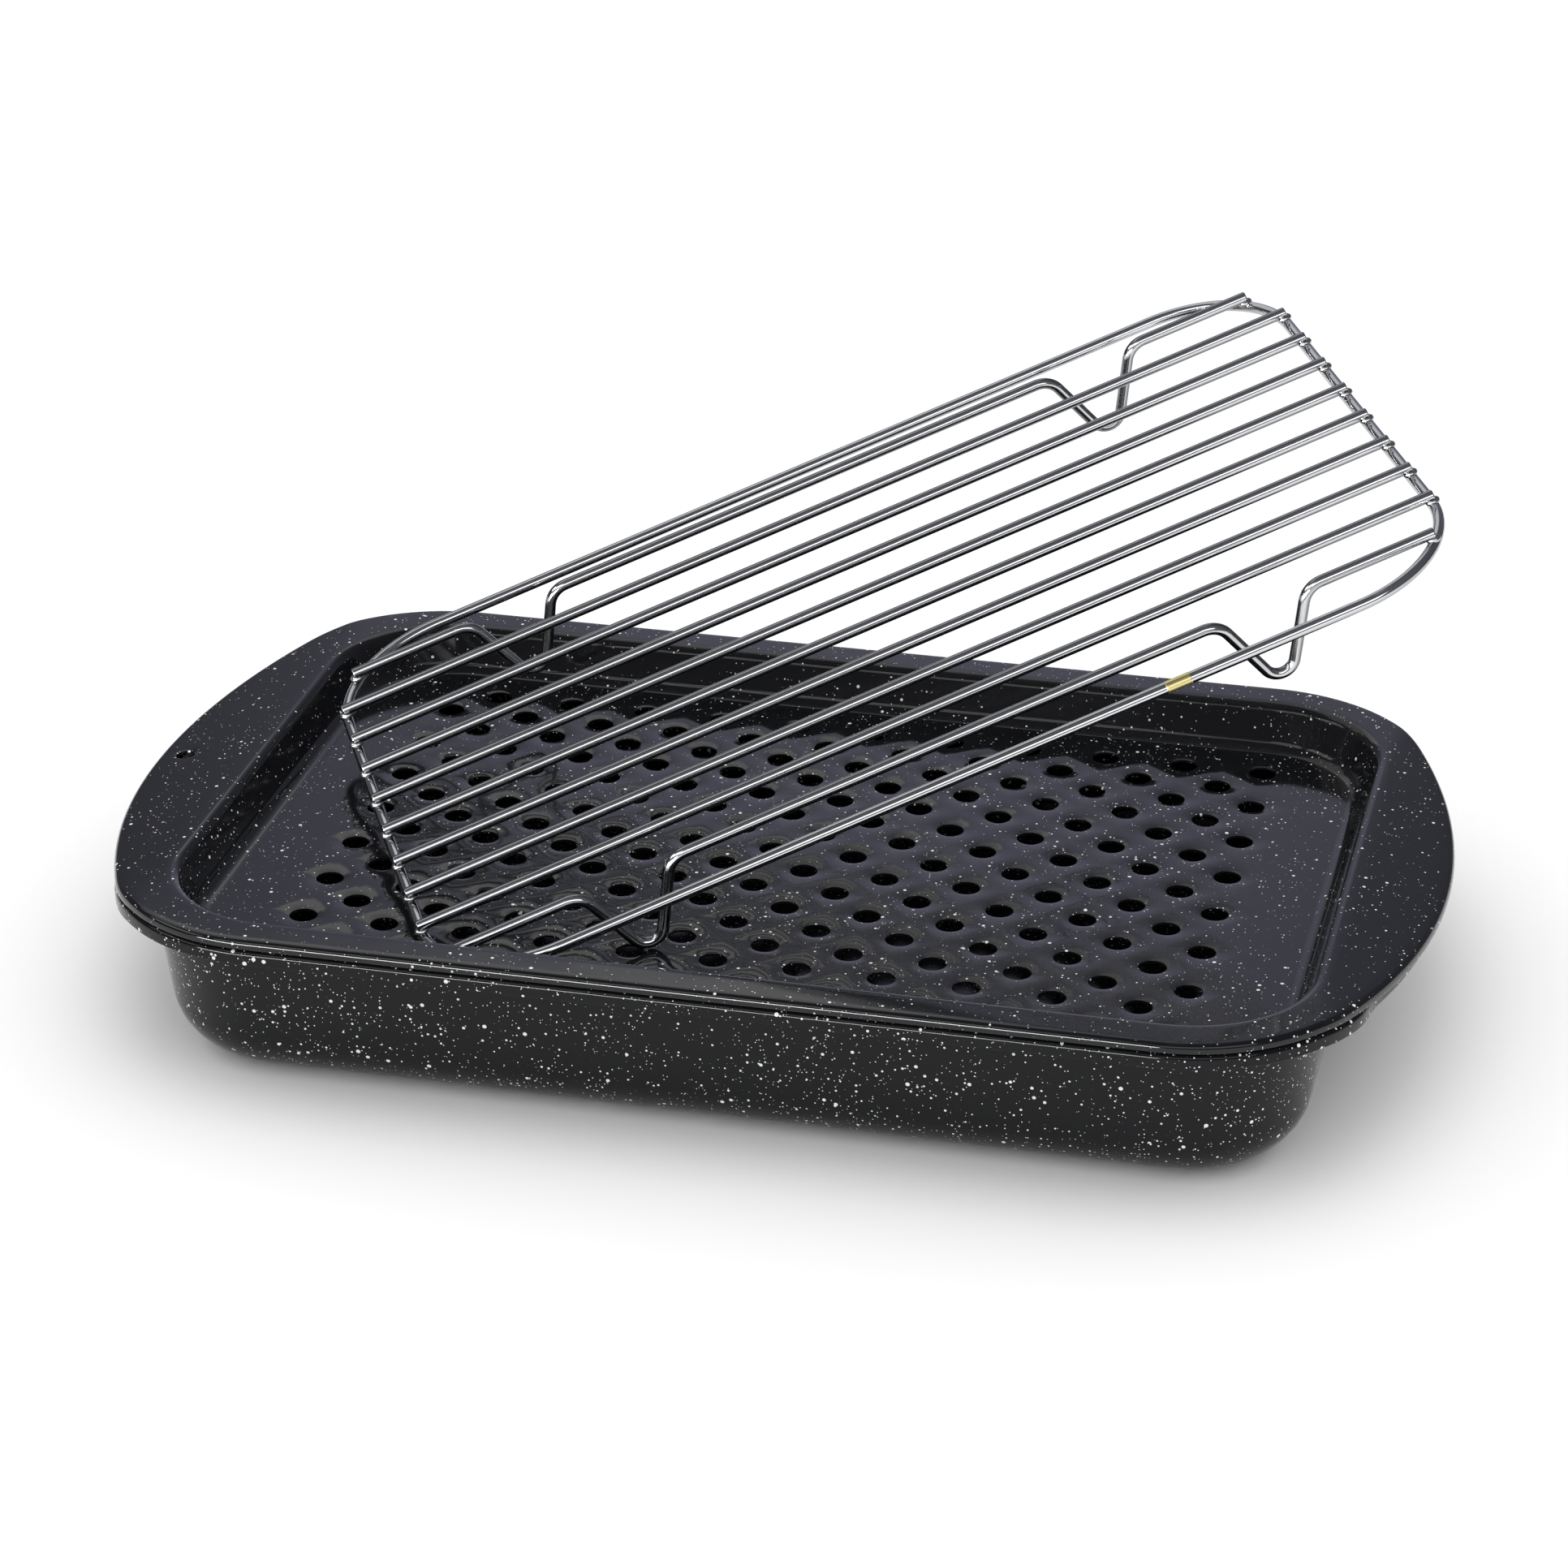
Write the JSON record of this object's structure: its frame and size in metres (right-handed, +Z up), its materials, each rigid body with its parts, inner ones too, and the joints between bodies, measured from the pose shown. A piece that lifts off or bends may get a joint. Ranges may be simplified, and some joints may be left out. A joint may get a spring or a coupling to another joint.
{
  "type": "roasting pan with rack",
  "caption": "Enamelled roasting pan with arched handle rims, a perforated grill tray standing on its rim, and a wire rack on bent feet leaning in the tray.",
  "frame": {"origin": "middle of the pan's flat underside, on the surface it stands on", "axes": "+Z up; +X along the pan, away from the handle with the hanging hole; +Y from the front long wall to the rear one"},
  "size_m": [0.443, 0.3366, 0.182],
  "materials": {
    "enamel": "glossy black vitreous enamel with fine white speckles",
    "plated_wire": "bright plated steel wire"
  },
  "bodies": {
    "pan": {"roasting_pan": "enamel"},
    "tray": {"perforated_tray": "enamel"},
    "rack": {"rack_frame": "plated_wire", "rack_rod_1": "plated_wire", "rack_rod_2": "plated_wire", "rack_rod_3": "plated_wire", "rack_rod_4": "plated_wire", "rack_rod_5": "plated_wire", "rack_rod_6": "plated_wire", "rack_rod_7": "plated_wire", "rack_rod_8": "plated_wire", "rack_footed_rod_front": "plated_wire", "rack_footed_rod_rear": "plated_wire"}
  },
  "joints": [
    {"name": "tray_lift", "type": "slide", "parent": "pan", "child": "tray", "axis": [0, 0, 1], "range_m": [0, 0.08]},
    {"name": "rack_lift", "type": "slide", "parent": "tray", "child": "rack", "axis": [0, 0, 1], "range_m": [0, 0.08]}
  ]
}
